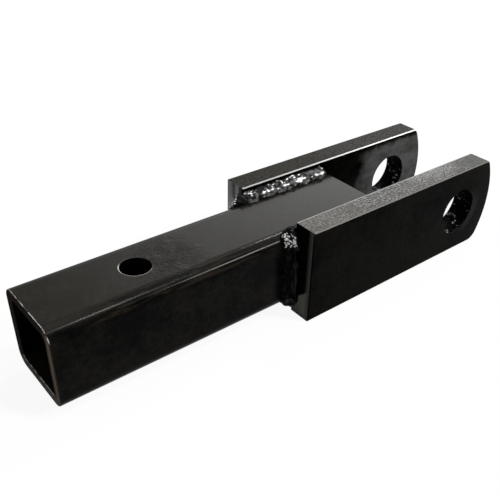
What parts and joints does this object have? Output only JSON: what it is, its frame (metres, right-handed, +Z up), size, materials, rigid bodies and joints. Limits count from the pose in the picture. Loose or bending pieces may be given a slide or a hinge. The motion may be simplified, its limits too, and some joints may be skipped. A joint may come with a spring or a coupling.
{
  "type": "clevis ball mount",
  "caption": "Hollow square receiver shank with flat clevis plates welded along its sides, cross-bored for a hitch pin and a clevis pin.",
  "frame": {"origin": "middle of the part's length and width, on the surface that the plates' lower edges rest on", "axes": "+X along the shank from its open end towards the clevis tips, +Y across it towards the right plate, +Z up"},
  "size_m": [0.3274, 0.0828, 0.0635],
  "materials": {
    "shank_paint": "gloss black paint on drawn steel tube",
    "plate_paint": "gloss black paint over mill scale on steel bar",
    "weld_paint": "gloss black paint over weld beads"
  },
  "bodies": {
    "root": {"shank_tube": "shank_paint", "left_clevis_plate": "plate_paint", "right_clevis_plate": "plate_paint", "left_top_weld": "weld_paint", "right_top_weld": "weld_paint", "left_bottom_weld": "weld_paint", "right_bottom_weld": "weld_paint", "left_front_weld": "weld_paint", "right_front_weld": "weld_paint"}
  },
  "joints": []
}
